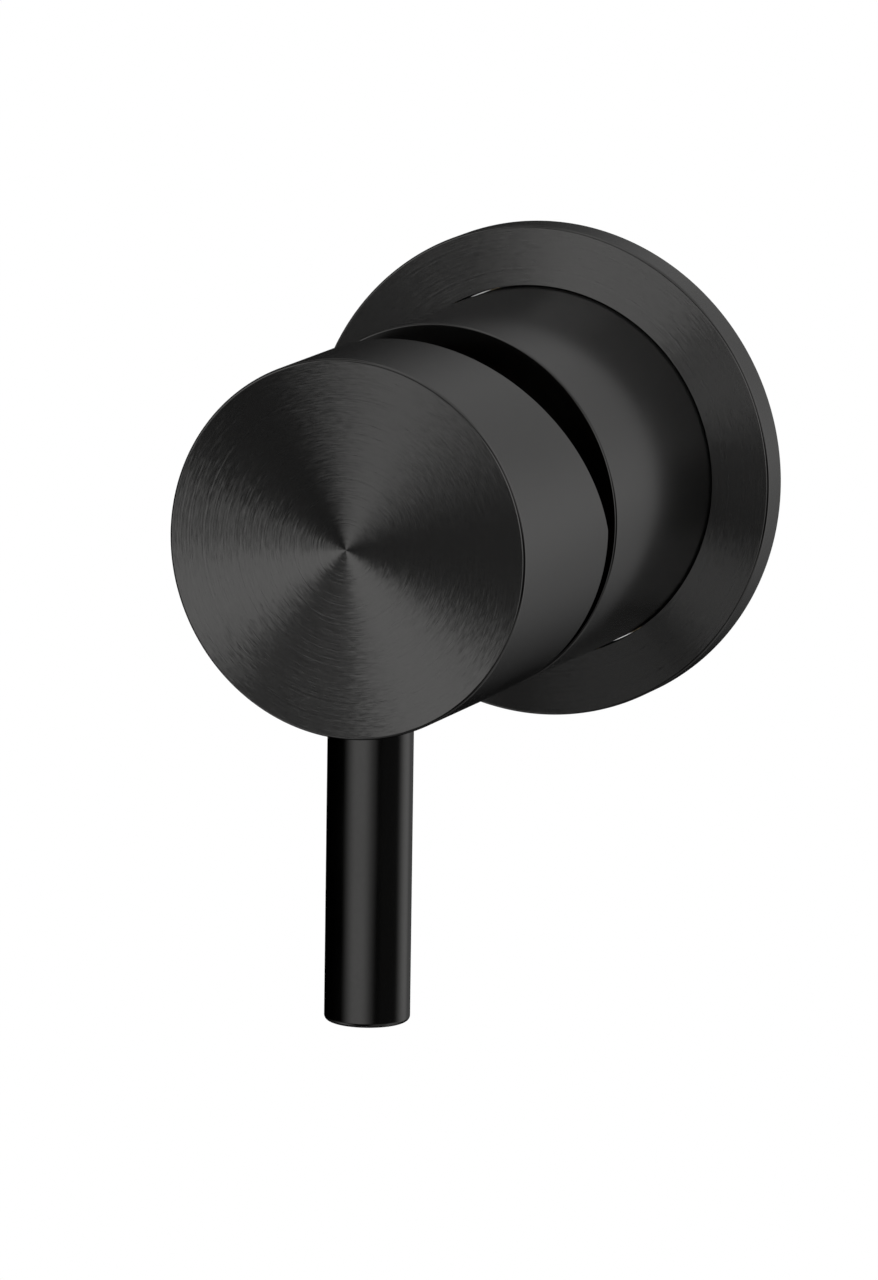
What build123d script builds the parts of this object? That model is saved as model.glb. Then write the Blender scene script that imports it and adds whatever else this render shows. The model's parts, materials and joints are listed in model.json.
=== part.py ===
from build123d import *
import os
from math import atan2, cos, degrees, radians, sin, tan

# A concealed single-lever mixer: wall plate, sleeve, tilting handle and ceramic-disc cartridge.
# Lengths are in millimetres. The tap's axis is Y, the room lies towards -Y and Y = 0 is the wall's face.
# A place along the axis is a distance out from the wall (names ending in _out), negative inside the wall.

# Motion of the handle
tilt_range = 22.0  # degrees, lever moved away from the wall
turn_range = 50.0  # degrees to each side, cold to hot

# Clearances
bore_clearance = 0.15  # cartridge in the body
thread_clearance = 0.05
slip_clearance = 0.2  # sleeve over the body's collar
running_clearance = 0.1  # turret neck in the housing
pin_clearance = 0.05  # stem on its pivot pin
press_clearance = 0.01  # pivot pin in the turret
guide_clearance = 0.05  # carrier block in the turret's slot
ball_clearance = 0.1  # stem ball in its pocket
disc_film = 0.02  # water film between the ceramic discs
stack_gap = 0.3  # between faces that pass each other without touching

# Cartridge, from the seat in the body outwards
housing_diameter = 34.9  # the common 35 mm cartridge
housing_wall = 3.25
seat_out = 3.0
base_flange_thickness = 2.6
spigot_length = 3.4
fixed_disc_thickness = 3.5
moving_disc_thickness = 3.48
carrier_thickness = 3.6
block_height = 2.4
turret_web = 1.6
shoulder_thickness = 1.5
neck_length = 7.7
neck_wall = 2.4
neck_inset = 0.8  # from the cavity's wall to the outside of the neck
turret_stand_out = 0.2
limit_ring_thickness = 1.8

# Water ways
port_count = 3  # outlet above, hot below on the left, cold below on the right
passage_radius = 3.2
passage_inset = 5.2  # from the cavity's wall to a passage's axis
seal_wall = 1.2
seal_play = 0.05
inlet_inset = 5.7  # from the cavity's wall to the middle of an inlet slot
inlet_width = 4.0
inlet_start = 205.0
inlet_span = 35.0
outlet_inset = 7.7
outlet_width = 5.0
outlet_span = 40.0
chamber_width = 17.0
chamber_height = 8.4
chamber_low = 0.3  # lowest edge of the mixing chamber above the axis, tap closed
chamber_corner = 3.0
chamber_seal_offset = 0.6
chamber_seal_width = 1.0
chamber_seal_height = 1.0

# Pegs that stop the base and the moving disc from turning
base_peg_radius = 1.5
base_peg_length = 2.5
base_peg_offset = 4.5  # outside the circle of the passages
disc_peg_radius = 1.2
disc_peg_length = 1.6
disc_peg_spacing = 12.0
disc_peg_drop = 5.5  # below the axis, tap closed
peg_play = 0.1

# Carrier, turret, pivot and stem
block_width = 15.9
block_length = 15.0
pocket_web = 0.9
ball_radius = 2.6
ball_facet = 45.0  # degrees taken by each face of the ball's barrel
shank_radius = 1.7
pivot_rise = 5.1  # pivot axis out from the turret's flange
pin_radius = 1.5
pin_inset = 0.6
stem_side = 8.0
stem_tail = 4.0  # square part behind the pivot
stem_cone = 2.1
slot_play = 0.1
slot_reach = 6.6
stop_lug_width = 4.0
stop_lug_depth = 1.6
stop_play = 0.8  # degrees left at each stop

# Nut, valve body and sleeve
nut_thread_step = 1.4  # thread radius above the cartridge bore
nut_thread_length = 4.0
nut_hex_height = 2.9
nut_bore_play = 0.2
collar_wall = 1.75
hub_depth = 14.0
hub_chamfer = 0.8
sleeve_seat_out = 1.0
sleeve_wall = 1.5
sleeve_lip = 7.0
sleeve_lip_thickness = 1.5
sleeve_edge = 0.3
groove_depth = 1.2
groove_width = 1.9
groove_out = 16.0

# Connections in the rear face
port_thread_radius = 7.475  # core of a G 3/8 thread
port_depth = 10.0
port_wall = 3.2  # leaves each port's axis over its passage
fixing_thread_radius = 2.1  # core of an M5 thread
fixing_depth = 9.0
fixing_wall = 2.4
fixing_count = 3

# Wall plate
plate_overhang = 7.5
plate_thickness = 4.3
plate_slit = 0.35
plate_face_wall = 1.8
plate_edge = 0.35
plate_ring_section = 1.5

# Handle and lever
handle_gap = 2.55
handle_depth = 25.65
handle_wall = 4.0
handle_edge = 0.3
relief_angle = 23.5
handle_face_wall = 3.5
socket_play = 0.05
stem_tip_gap = 0.3
lever_diameter = 10.14
lever_inset = 8.0  # lever axis behind the handle's face
lever_reach = 57.55  # lever tip from the tap's axis
lever_socket_depth = 7.5
lever_play = 0.05
lever_web = 1.6  # between the lever's socket and the hollow behind it
lever_end_edge = 0.7
lever_thread_depth = 7.5
stud_radius = 2.95
stud_engagement = 4.6  # in the handle
stud_gap = 0.4
hex_key_radius = 1.73
hex_key_depth = 2.5

# Places along the axis
base_front_out = seat_out + base_flange_thickness
fixed_disc_out = base_front_out + spigot_length
moving_disc_out = fixed_disc_out + fixed_disc_thickness + disc_film
carrier_out = moving_disc_out + moving_disc_thickness
carrier_front_out = carrier_out + carrier_thickness
block_front_out = carrier_front_out + block_height
turret_out = carrier_front_out + stack_gap
turret_slot_out = block_front_out + stack_gap
turret_flange_out = turret_slot_out + turret_web
cavity_front_out = turret_flange_out + running_clearance
shoulder_out = cavity_front_out + shoulder_thickness
pivot_out = turret_flange_out + pivot_rise
neck_front_out = shoulder_out + neck_length
turret_front_out = neck_front_out + turret_stand_out
body_front_out = shoulder_out + nut_thread_length
nut_front_out = body_front_out + nut_hex_height
sleeve_lip_out = nut_front_out + slip_clearance
sleeve_front_out = sleeve_lip_out + sleeve_lip_thickness
handle_rear_out = sleeve_front_out + handle_gap
handle_front_out = handle_rear_out + handle_depth
socket_front_out = handle_front_out - handle_face_wall
stem_front_out = socket_front_out - stem_tip_gap
lever_out = handle_front_out - lever_inset
pocket_out = carrier_out + chamber_seal_height + pocket_web
ball_out = pocket_out + ball_clearance + ball_radius

# Radii from the axis
housing_radius = housing_diameter / 2
cavity_radius = housing_radius - housing_wall
neck_radius = cavity_radius - neck_inset
neck_bore_radius = neck_radius - neck_wall
turret_neck_radius = neck_bore_radius - running_clearance
turret_flange_radius = cavity_radius - stack_gap
bore_radius = housing_radius + bore_clearance
nut_thread_radius = bore_radius + nut_thread_step
thread_bore_radius = nut_thread_radius + thread_clearance
collar_radius = thread_bore_radius + collar_wall
sleeve_bore_radius = collar_radius + slip_clearance
sleeve_radius = sleeve_bore_radius + sleeve_wall
plate_bore_radius = sleeve_radius + plate_slit
plate_radius = sleeve_radius + plate_overhang
passage_circle_radius = cavity_radius - passage_inset
base_peg_circle_radius = passage_circle_radius + base_peg_offset
port_circle_radius = sleeve_radius - port_wall - port_thread_radius
fixing_circle_radius = sleeve_radius - fixing_wall - fixing_thread_radius
handle_radius = sleeve_radius
lever_radius = lever_diameter / 2
lever_socket_radius = lever_radius + lever_play
lever_top = handle_radius - lever_socket_depth
hollow_out = lever_out - lever_socket_radius - lever_web

# Travel of the discs: the stem's ball swings about the pivot and pushes the carrier
disc_travel = (pivot_out - ball_out) * sin(radians(tilt_range))
disc_centre = disc_travel / 2
disc_radius = cavity_radius - disc_travel / 2 - stack_gap
chamber_centre = chamber_low + chamber_height / 2


def turned_section(*corners):
    # half section of a turned piece, each corner given as (radius, distance out from the wall)
    with BuildSketch(Plane.XY) as outline:
        with BuildLine():
            Polyline(*[(radius, -out) for radius, out in corners], close=True)
        make_face()
    return outline.sketch


def ring_section(centre_radius, centre_out, thickness):
    # four-sided section of a rubber ring, standing on its corner
    with BuildSketch(Plane.XY) as outline:
        with Locations((centre_radius, -centre_out)):
            RegularPolygon(thickness / 2, 4)
    return outline.sketch


def facing(out):
    # plane across the axis, seen from the room: local x is right and local y is up
    return Plane.XZ.offset(out)


# Valve body: one turned piece with the cartridge bore in front and the connections at the rear
with BuildPart() as valve_body:
    revolve(
        turned_section(
            (0, -hub_depth),
            (sleeve_radius, -hub_depth),
            (sleeve_radius, sleeve_seat_out),
            (collar_radius, sleeve_seat_out),
            (collar_radius, body_front_out),
            (thread_bore_radius, body_front_out),
            (thread_bore_radius, shoulder_out),
            (bore_radius, shoulder_out),
            (bore_radius, seat_out),
            (0, seat_out),
        ),
        axis=Axis.Y,
    )
    chamfer(valve_body.faces().sort_by(Axis.Y)[-1].outer_wire().edges(), hub_chamfer)
    revolve(
        turned_section(
            (collar_radius - groove_depth, groove_out - groove_width / 2),
            (sleeve_bore_radius, groove_out - groove_width / 2),
            (sleeve_bore_radius, groove_out + groove_width / 2),
            (collar_radius - groove_depth, groove_out + groove_width / 2),
        ),
        axis=Axis.Y,
        mode=Mode.SUBTRACT,
    )
    with BuildSketch(facing(-hub_depth)):
        with PolarLocations(port_circle_radius, port_count, start_angle=90):
            Circle(port_thread_radius)
    extrude(amount=port_depth, mode=Mode.SUBTRACT)
    with BuildSketch(facing(port_depth - hub_depth)):
        with PolarLocations(passage_circle_radius, port_count, start_angle=90):
            Circle(passage_radius)
    extrude(amount=seat_out + hub_depth - port_depth, mode=Mode.SUBTRACT)
    with BuildSketch(facing(-hub_depth)):
        with PolarLocations(fixing_circle_radius, fixing_count, start_angle=30):
            Circle(fixing_thread_radius)
    extrude(amount=fixing_depth, mode=Mode.SUBTRACT)
    with BuildSketch(facing(seat_out)):
        with PolarLocations(base_peg_circle_radius, 2):
            Circle(base_peg_radius + peg_play)
    extrude(amount=-base_peg_length - peg_play, mode=Mode.SUBTRACT)

# Sleeve: a turned cup, open at the rear, with a lip that hides the nut
with BuildPart() as sleeve:
    revolve(
        turned_section(
            (sleeve_bore_radius, sleeve_seat_out),
            (sleeve_radius, sleeve_seat_out),
            (sleeve_radius, sleeve_front_out),
            (sleeve_radius - sleeve_lip, sleeve_front_out),
            (sleeve_radius - sleeve_lip, sleeve_lip_out),
            (sleeve_bore_radius, sleeve_lip_out),
        ),
        axis=Axis.Y,
    )
    chamfer(sleeve.faces().sort_by(Axis.Y)[0].outer_wire().edges(), sleeve_edge)

# Ring between the sleeve and the body's collar
sleeve_ring_section = sleeve_bore_radius - collar_radius + groove_depth - 2 * seal_play
sleeve_ring_radius = sleeve_bore_radius - seal_play - sleeve_ring_section / 2
with BuildPart() as sleeve_o_ring:
    revolve(ring_section(sleeve_ring_radius, groove_out, sleeve_ring_section), axis=Axis.Y)

# Wall plate: turned, with a counterbore behind its face for the ring that grips the sleeve
counterbore_out = plate_thickness - plate_face_wall
counterbore_radius = sleeve_radius + plate_ring_section + 2 * seal_play
with BuildPart() as wall_plate:
    revolve(
        turned_section(
            (plate_bore_radius, counterbore_out),
            (counterbore_radius, counterbore_out),
            (counterbore_radius, 0),
            (plate_radius, 0),
            (plate_radius, plate_thickness),
            (plate_bore_radius, plate_thickness),
        ),
        axis=Axis.Y,
    )
    chamfer(wall_plate.faces().sort_by(Axis.Y)[0].outer_wire().edges(), plate_edge)

plate_ring_out = counterbore_out - seal_play - plate_ring_section / 2
plate_ring_radius = sleeve_radius + seal_play + plate_ring_section / 2
with BuildPart() as plate_o_ring:
    revolve(ring_section(plate_ring_radius, plate_ring_out, plate_ring_section), axis=Axis.Y)

# Cartridge nut: threaded ring with a hexagon in front
with BuildPart() as cartridge_nut:
    with BuildSketch(facing(shoulder_out)):
        Circle(nut_thread_radius)
        Circle(neck_radius + nut_bore_play, mode=Mode.SUBTRACT)
    extrude(amount=nut_thread_length)
    with BuildSketch(facing(body_front_out)):
        RegularPolygon(nut_thread_radius, 6)
        Circle(neck_radius + nut_bore_play, mode=Mode.SUBTRACT)
    extrude(amount=nut_hex_height)

# Cartridge housing: shell with a shoulder for the nut, a neck for the turret and a stop lug inside
with BuildPart() as cartridge_housing:
    revolve(
        turned_section(
            (cavity_radius, base_front_out),
            (housing_radius, base_front_out),
            (housing_radius, shoulder_out),
            (neck_radius, shoulder_out),
            (neck_radius, neck_front_out),
            (neck_bore_radius, neck_front_out),
            (neck_bore_radius, cavity_front_out),
            (cavity_radius, cavity_front_out),
        ),
        axis=Axis.Y,
    )
    with BuildSketch(facing(turret_out + stack_gap)):
        with Locations((0, cavity_radius - stop_lug_depth)):
            Rectangle(stop_lug_width, stop_lug_depth + housing_wall / 2, align=(Align.CENTER, Align.MIN))
    extrude(amount=cavity_front_out - turret_out - stack_gap)

# Cartridge base: flange on the seat, spigot in the housing, three openings for the seals and two pegs
port_seal_radius = passage_radius + seal_wall
with BuildPart() as cartridge_base:
    revolve(
        turned_section(
            (0, seat_out),
            (housing_radius, seat_out),
            (housing_radius, base_front_out),
            (cavity_radius - seal_play, base_front_out),
            (cavity_radius - seal_play, fixed_disc_out),
            (0, fixed_disc_out),
        ),
        axis=Axis.Y,
    )
    with BuildSketch(facing(seat_out)):
        with PolarLocations(passage_circle_radius, port_count, start_angle=90):
            Circle(port_seal_radius + seal_play)
    extrude(amount=fixed_disc_out - seat_out, mode=Mode.SUBTRACT)
    with BuildSketch(facing(seat_out)):
        with PolarLocations(base_peg_circle_radius, 2):
            Circle(base_peg_radius)
    extrude(amount=-base_peg_length)

# Three tube seals that carry the water from the seat through the base to the fixed disc
with BuildPart() as port_seals:
    with BuildSketch(facing(seat_out)):
        with PolarLocations(passage_circle_radius, port_count, start_angle=90):
            Circle(port_seal_radius)
            Circle(passage_radius, mode=Mode.SUBTRACT)
    extrude(amount=fixed_disc_out - seat_out)

# Fixed ceramic disc: two curved inlet slots below and one outlet slot above
hot_path = CenterArc((0, 0), cavity_radius - inlet_inset, inlet_start, inlet_span)
cold_path = CenterArc((0, 0), cavity_radius - inlet_inset, 180 - inlet_start - inlet_span, inlet_span)
outlet_path = CenterArc((0, 0), cavity_radius - outlet_inset, 90 - outlet_span / 2, outlet_span)
with BuildPart() as fixed_disc:
    with BuildSketch(facing(fixed_disc_out)):
        Circle(cavity_radius - slip_clearance)
        SlotArc(hot_path, inlet_width, mode=Mode.SUBTRACT)
        SlotArc(cold_path, inlet_width, mode=Mode.SUBTRACT)
        SlotArc(outlet_path, outlet_width, mode=Mode.SUBTRACT)
    extrude(amount=fixed_disc_thickness)

# Moving ceramic disc: the mixing chamber goes through it, and two blind holes take the carrier's pegs
with BuildPart() as moving_disc:
    with BuildSketch(facing(moving_disc_out)):
        with Locations((0, disc_centre)):
            Circle(disc_radius)
        with Locations((0, chamber_centre)):
            RectangleRounded(chamber_width, chamber_height, chamber_corner, mode=Mode.SUBTRACT)
    extrude(amount=moving_disc_thickness)
    with BuildSketch(facing(carrier_out)):
        with Locations((-disc_peg_spacing / 2, -disc_peg_drop), (disc_peg_spacing / 2, -disc_peg_drop)):
            Circle(disc_peg_radius + peg_play)
    extrude(amount=-disc_peg_length - peg_play, mode=Mode.SUBTRACT)


def chamber_ring(offset):
    # width, height and corner radius of an outline that runs round the chamber at this distance
    return chamber_width + 2 * offset, chamber_height + 2 * offset, chamber_corner + offset


# Seal that lies in the carrier round the mixing chamber
with BuildPart() as chamber_seal:
    with BuildSketch(facing(carrier_out)):
        with Locations((0, chamber_centre)):
            RectangleRounded(*chamber_ring(chamber_seal_offset + chamber_seal_width))
            RectangleRounded(*chamber_ring(chamber_seal_offset), mode=Mode.SUBTRACT)
    extrude(amount=chamber_seal_height)

# Disc carrier: closes the chamber, slides in the turret by its block and is pushed by the stem's ball
with BuildPart() as disc_carrier:
    with BuildSketch(facing(carrier_out)):
        with Locations((0, disc_centre)):
            Circle(disc_radius)
    extrude(amount=carrier_thickness)
    with BuildSketch(facing(carrier_front_out)):
        Rectangle(block_width, block_length)
    extrude(amount=block_height)
    with BuildSketch(facing(carrier_out)):
        with Locations((0, chamber_centre)):
            RectangleRounded(*chamber_ring(chamber_seal_offset + chamber_seal_width + seal_play))
            RectangleRounded(*chamber_ring(chamber_seal_offset - seal_play), mode=Mode.SUBTRACT)
    extrude(amount=chamber_seal_height, mode=Mode.SUBTRACT)
    with BuildSketch(facing(pocket_out)):
        Circle(ball_radius + ball_clearance)
    extrude(amount=block_front_out - pocket_out, mode=Mode.SUBTRACT)
    with BuildSketch(facing(carrier_out)):
        with Locations((-disc_peg_spacing / 2, -disc_peg_drop), (disc_peg_spacing / 2, -disc_peg_drop)):
            Circle(disc_peg_radius)
    extrude(amount=-disc_peg_length)

# Turret: turns in the neck, guides the carrier in a slot and carries the stem on its pin
slot_width = stem_side + 2 * slot_play
stop_lug_angle = degrees(atan2(stop_lug_width / 2, cavity_radius - stop_lug_depth))
stop_half_angle = turn_range + stop_lug_angle + stop_play
with BuildPart() as turret:
    revolve(
        turned_section(
            (0, turret_out),
            (turret_flange_radius, turret_out),
            (turret_flange_radius, turret_flange_out),
            (turret_neck_radius, turret_flange_out),
            (turret_neck_radius, turret_front_out),
            (0, turret_front_out),
        ),
        axis=Axis.Y,
    )
    with BuildSketch(facing(turret_out)):
        Rectangle(block_width + 2 * guide_clearance, 2 * cavity_radius)
    extrude(amount=turret_slot_out - turret_out, mode=Mode.SUBTRACT)
    with BuildSketch(facing(turret_out)):
        Rectangle(slot_width, 2 * slot_reach)
    extrude(amount=turret_front_out - turret_out, mode=Mode.SUBTRACT)
    with BuildSketch(facing(turret_out)):
        Circle(cavity_radius)
        Circle(cavity_radius - stop_lug_depth - slip_clearance, mode=Mode.SUBTRACT)
        with BuildLine():
            stop_reach = 2 * cavity_radius
            stop_spread = stop_reach * tan(radians(stop_half_angle))
            Polyline((0, 0), (stop_spread, stop_reach), (-stop_spread, stop_reach), close=True)
        make_face(mode=Mode.INTERSECT)
    extrude(amount=turret_flange_out - turret_out, mode=Mode.SUBTRACT)
    with BuildSketch(Plane.YZ):
        with Locations((-pivot_out, 0)):
            Circle(pin_radius + press_clearance)
    extrude(amount=cavity_radius, both=True, mode=Mode.SUBTRACT)

with BuildPart() as pivot_pin:
    with BuildSketch(Plane.YZ):
        with Locations((-pivot_out, 0)):
            Circle(pin_radius)
    extrude(amount=turret_neck_radius - pin_inset, both=True)

# Limit ring on the end of the housing's neck
with BuildPart() as temperature_limit_ring:
    with BuildSketch(facing(neck_front_out)):
        Circle(neck_radius + neck_inset)
        Circle(neck_bore_radius + stack_gap, mode=Mode.SUBTRACT)
        with PolarLocations(neck_radius + neck_inset, 12):
            Rectangle(neck_inset, neck_inset * 2, mode=Mode.SUBTRACT)
    extrude(amount=limit_ring_thickness)

# Stem: square in the handle and the turret, a cone and a shank behind the pivot, a barrel-shaped ball
stem_tail_out = pivot_out - stem_tail
ball_wide = ball_radius * cos(radians(ball_facet / 2))
ball_half_width = ball_radius * sin(radians(ball_facet / 2))
with BuildPart() as stem:
    with BuildSketch(facing(stem_tail_out)):
        Rectangle(stem_side, stem_side)
    extrude(amount=stem_front_out - stem_tail_out)
    revolve(
        turned_section(
            (0, ball_out - ball_wide),
            (ball_half_width, ball_out - ball_wide),
            (ball_wide, ball_out - ball_half_width),
            (ball_wide, ball_out + ball_half_width),
            (shank_radius, ball_out + ball_radius - ball_half_width),
            (shank_radius, stem_tail_out - stem_cone),
            (stem_side / 2, stem_tail_out),
            (0, stem_tail_out),
        ),
        axis=Axis.Y,
    )
    with BuildSketch(Plane.YZ):
        with Locations((-pivot_out, 0)):
            Circle(pin_radius + pin_clearance)
    extrude(amount=stem_side, both=True, mode=Mode.SUBTRACT)

# Handle: turned knob, hollow behind, with the square socket, the lever's socket and the tilting relief
with BuildPart() as handle:
    with BuildSketch(facing(handle_rear_out)):
        Circle(handle_radius)
    extrude(amount=handle_depth)
    chamfer(handle.faces().sort_by(Axis.Y)[0].outer_wire().edges(), handle_edge)
    with BuildSketch(facing(handle_rear_out)):
        Circle(handle_radius - handle_wall)
    extrude(amount=hollow_out - handle_rear_out, mode=Mode.SUBTRACT)
    with BuildSketch(Plane.YZ):
        with BuildLine():
            relief_height = handle_radius + handle_wall
            relief_front_out = handle_rear_out + relief_height * tan(radians(relief_angle))
            Polyline(
                (-handle_rear_out, 0),
                (-handle_rear_out, relief_height),
                (-relief_front_out, relief_height),
                close=True,
            )
        make_face()
    extrude(amount=handle_radius + handle_wall, both=True, mode=Mode.SUBTRACT)
    with BuildSketch(facing(hollow_out)):
        Rectangle(stem_side + 2 * socket_play, stem_side + 2 * socket_play)
    extrude(amount=socket_front_out - hollow_out, mode=Mode.SUBTRACT)
    with BuildSketch(Plane.XY.offset(-lever_top)):
        with Locations((0, -lever_out)):
            Circle(lever_socket_radius)
    extrude(amount=-2 * lever_socket_depth, mode=Mode.SUBTRACT)
    with BuildSketch(Plane.XY.offset(-lever_top)):
        with Locations((0, -lever_out)):
            Circle(stud_radius + thread_clearance)
    extrude(amount=lever_top, mode=Mode.SUBTRACT)

# Lever: plain round rod with a rounded end and a threaded hole in its top
with BuildPart() as lever:
    with BuildSketch(Plane.XY.offset(-lever_top)):
        with Locations((0, -lever_out)):
            Circle(lever_radius)
    extrude(amount=lever_top - lever_reach)
    chamfer(lever.faces().sort_by(Axis.Z)[0].outer_wire().edges(), lever_end_edge)
    with BuildSketch(Plane.XY.offset(-lever_top)):
        with Locations((0, -lever_out)):
            Circle(stud_radius + thread_clearance)
    extrude(amount=-lever_thread_depth, mode=Mode.SUBTRACT)

# Grub screw on the stem, and the stud below it that holds the lever
grub_top = stem_side / 2
stud_top = lever_top - stud_engagement
stud_bottom = lever_top + lever_thread_depth - stud_gap
grub_length = stud_top - stud_gap - grub_top
with BuildPart() as grub_screw:
    with BuildSketch(Plane.XY.offset(-grub_top)):
        with Locations((0, -lever_out)):
            Circle(stud_radius)
    extrude(amount=-grub_length)
    with BuildSketch(Plane.XY.offset(-grub_top - grub_length)):
        with Locations((0, -lever_out)):
            RegularPolygon(hex_key_radius, 6)
    extrude(amount=hex_key_depth, mode=Mode.SUBTRACT)

with BuildPart() as lever_stud:
    with BuildSketch(Plane.XY.offset(-stud_top)):
        with Locations((0, -lever_out)):
            Circle(stud_radius)
    extrude(amount=stud_top - stud_bottom)
    with BuildSketch(Plane.XY.offset(-stud_top)):
        with Locations((0, -lever_out)):
            RegularPolygon(hex_key_radius, 6)
    extrude(amount=-hex_key_depth, mode=Mode.SUBTRACT)

pieces = {
    "valve_body": valve_body,
    "wall_plate": wall_plate,
    "plate_o_ring": plate_o_ring,
    "sleeve": sleeve,
    "sleeve_o_ring": sleeve_o_ring,
    "cartridge_nut": cartridge_nut,
    "cartridge_housing": cartridge_housing,
    "cartridge_base": cartridge_base,
    "port_seals": port_seals,
    "fixed_disc": fixed_disc,
    "moving_disc": moving_disc,
    "chamber_seal": chamber_seal,
    "disc_carrier": disc_carrier,
    "turret": turret,
    "pivot_pin": pivot_pin,
    "temperature_limit_ring": temperature_limit_ring,
    "stem": stem,
    "handle": handle,
    "lever": lever,
    "grub_screw": grub_screw,
    "lever_stud": lever_stud,
}
os.makedirs("parts", exist_ok=True)
for name, piece in pieces.items():
    piece.part.label = name
    export_step(piece.part, f"parts/{name}.step")
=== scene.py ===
import bmesh
import bpy
import json
from math import cos, pi, radians, sin, tan
from mathutils import Matrix, Vector


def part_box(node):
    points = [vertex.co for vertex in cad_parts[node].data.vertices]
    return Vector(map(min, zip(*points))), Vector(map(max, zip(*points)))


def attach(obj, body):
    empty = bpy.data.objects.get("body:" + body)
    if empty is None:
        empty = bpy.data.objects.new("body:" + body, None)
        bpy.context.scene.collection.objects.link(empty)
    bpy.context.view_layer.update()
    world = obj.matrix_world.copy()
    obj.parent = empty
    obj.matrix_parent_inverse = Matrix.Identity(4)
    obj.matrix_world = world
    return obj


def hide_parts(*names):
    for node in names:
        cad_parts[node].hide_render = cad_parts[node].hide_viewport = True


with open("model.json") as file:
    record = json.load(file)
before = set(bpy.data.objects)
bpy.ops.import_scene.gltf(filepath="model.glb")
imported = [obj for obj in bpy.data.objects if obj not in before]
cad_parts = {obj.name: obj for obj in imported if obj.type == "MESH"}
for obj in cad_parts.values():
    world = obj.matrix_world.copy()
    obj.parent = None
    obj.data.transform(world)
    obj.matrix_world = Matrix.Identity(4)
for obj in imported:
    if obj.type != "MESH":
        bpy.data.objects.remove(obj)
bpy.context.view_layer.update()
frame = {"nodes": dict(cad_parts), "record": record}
mm = 0.001
print("frame loaded:", len(frame["nodes"]), "nodes")


# helpers for node trees

def addNode(tree, kind, **settings):
    node = tree.nodes.new(kind)
    for key, value in settings.items():
        setattr(node, key, value)
    return node


def feed(tree, target, source):  # a link where source is a socket, otherwise a set value
    if isinstance(source, bpy.types.NodeSocket):
        tree.links.new(source, target)
    else:
        target.default_value = source


def fedNode(tree, kind, sources, **settings):  # inputs are fed by name or number; gives the outputs
    node = addNode(tree, kind, **settings)
    for key, source in sources.items():
        feed(tree, node.inputs[key], source)
    return node.outputs


def calc(tree, operation, *terms):
    return fedNode(tree, "ShaderNodeMath", dict(enumerate(terms)), operation=operation)[0]


def vectorCalc(tree, operation, *terms):
    return fedNode(tree, "ShaderNodeVectorMath", dict(enumerate(terms)), operation=operation)[0]


def scaled(tree, vector, amount):
    return fedNode(tree, "ShaderNodeVectorMath", {0: vector, "Scale": amount}, operation="SCALE")[0]


def joinParts(tree, x=0.0, y=0.0, z=0.0):
    return fedNode(tree, "ShaderNodeCombineXYZ", {"X": x, "Y": y, "Z": z})[0]


def splitParts(tree, vector):
    return fedNode(tree, "ShaderNodeSeparateXYZ", {0: vector})


def newTree(name, kind, inputs, outputs):
    tree = bpy.data.node_groups.new(name, kind)
    for label, socketType, value in inputs:
        socket = tree.interface.new_socket(label, in_out="INPUT", socket_type=socketType)
        if value is not None:
            socket.default_value = value
    for label, socketType in outputs:
        tree.interface.new_socket(label, in_out="OUTPUT", socket_type=socketType)
    start = tree.nodes.new("NodeGroupInput")
    end = tree.nodes.new("NodeGroupOutput")
    return tree, start.outputs, end.inputs


# helpers for shapes

def meshPlace(tree):
    return addNode(tree, "GeometryNodeInputPosition").outputs[0]


def opposite(tree, value):
    return calc(tree, "MULTIPLY", value, -1.0)


def moveTo(tree, geometry, place, rotation=(0.0, 0.0, 0.0)):
    sources = {"Geometry": geometry, "Translation": place, "Rotation": rotation}
    return fedNode(tree, "GeometryNodeTransform", sources)["Geometry"]


def realShape(tree, geometry):
    return fedNode(tree, "GeometryNodeRealizeInstances", {"Geometry": geometry})["Geometry"]


def cutAway(tree, shape, cutters):
    for cutter in cutters:
        sources = {"Mesh 1": shape, "Mesh 2": cutter}
        cut = fedNode(tree, "GeometryNodeMeshBoolean", sources, operation="DIFFERENCE", solver="EXACT")
        shape = cut["Mesh"]
    return shape


def bendGrid(tree, grid, radius, angle, along):  # takes a flat grid round the Y axis and closes its seam
    place = joinParts(
        tree,
        calc(tree, "MULTIPLY", radius, calc(tree, "COSINE", angle)),
        opposite(tree, along),
        calc(tree, "MULTIPLY", radius, calc(tree, "SINE", angle)),
    )
    moved = fedNode(tree, "GeometryNodeSetPosition", {"Geometry": grid, "Position": place})["Geometry"]
    sources = {"Geometry": moved, "Distance": turning["mergeDistance"]}
    return fedNode(tree, "GeometryNodeMergeByDistance", sources)["Geometry"]


# turning: a half section, given as (radius, distance out from the wall, edge radius), goes round the Y axis

turning = {
    "segments": 384,
    "roundingSteps": 6,
    "mergeDistance": 0.0005 * mm,
    "sharpAngle": radians(20),
    "evenWeight": 100,  # of large faces in the shading normals
    "faceLimit": 0.97,  # how far a face looks along the axis, to be finished as a face
    "edgeLimits": (0.15, 0.9),  # and as a rounded edge
}
turnInputs = [
    ("Profile", "NodeSocketGeometry", None),
    ("Segments", "NodeSocketInt", turning["segments"]),
    ("Rounding Steps", "NodeSocketInt", turning["roundingSteps"]),
]
finishInputs = [(label + " Material", "NodeSocketMaterial", None) for label in ("Side", "Face", "Edge")]
shapeOutputs = [("Geometry", "NodeSocketGeometry")]


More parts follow.
